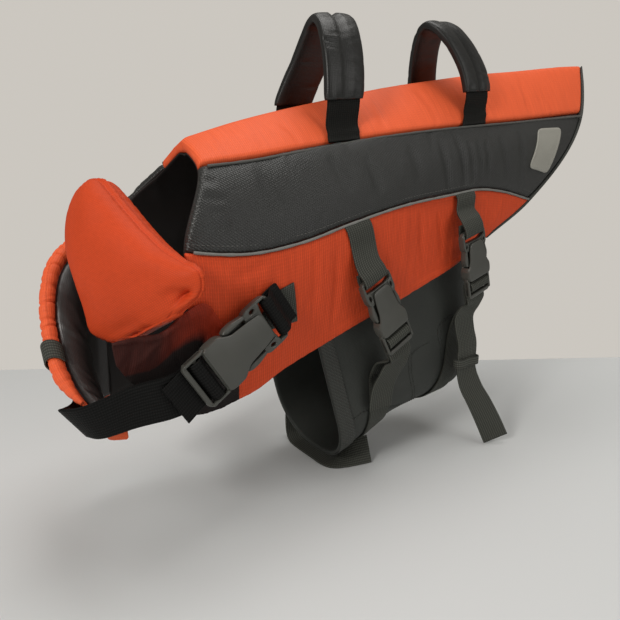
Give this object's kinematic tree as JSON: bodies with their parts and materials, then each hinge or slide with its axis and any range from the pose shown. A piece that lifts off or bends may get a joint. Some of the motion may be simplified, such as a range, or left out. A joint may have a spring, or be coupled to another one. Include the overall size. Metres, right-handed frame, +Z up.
{
  "type": "dog life jacket",
  "caption": "Buoyant dog jacket: foam back with two carrying handles, chin float, padded chest collar and belly panel held by buckled webbing straps.",
  "frame": {"origin": "on the flat underside of the belly strap's loose end, where the jacket stands on the table", "axes": "+X from the neck to the tail, +Y towards the dog's right side, +Z up from the table"},
  "size_m": [0.589, 0.1655, 0.3893],
  "materials": {
    "orange": "bright orange ripstop nylon, slight sheen",
    "orange_side": "orange ripstop nylon, matt",
    "twill": "dark grey twill with a soft sheen",
    "lining": "dark grey plain lining, matt",
    "charcoal": "charcoal oxford cloth, matt",
    "web": "dark grey woven webbing, ribbed",
    "neck_web": "near-black woven webbing",
    "piping": "light grey covered cord",
    "plastic": "dark grey moulded plastic, satin",
    "reflective": "silver grey reflective cloth"
  },
  "bodies": {
    "root": {"belly_binding": "web", "belly_panel": "charcoal", "belly_strap_end": "web", "chest_lining": "lining", "chest_panel": "orange", "chest_rim": "orange", "chin_float": "orange", "float_flap": "orange", "front_buckle_female": "plastic", "front_buckle_male": "plastic", "front_handle_sleeve": "twill", "front_handle_web": "web", "front_strap_lower": "web", "front_strap_upper": "web", "lining": "lining", "neck_buckle_female": "plastic", "neck_buckle_male": "plastic", "neck_loop": "neck_web", "neck_patch": "neck_web", "neck_strap": "neck_web", "piping_low_left": "piping", "piping_low_right": "piping", "piping_top_left": "piping", "piping_top_right": "piping", "rear_binding": "twill", "rear_buckle_female": "plastic", "rear_buckle_male": "plastic", "rear_handle_sleeve": "twill", "rear_handle_web": "web", "rear_keeper": "web", "rear_strap_lower": "web", "rear_strap_upper": "web", "reflective_patch_left": "reflective", "reflective_patch_right": "reflective", "side_band_left": "twill", "side_band_right": "twill", "side_panel_left": "orange_side", "side_panel_right": "orange_side", "strap_keeper": "web", "top_panel": "orange"}
  },
  "joints": []
}
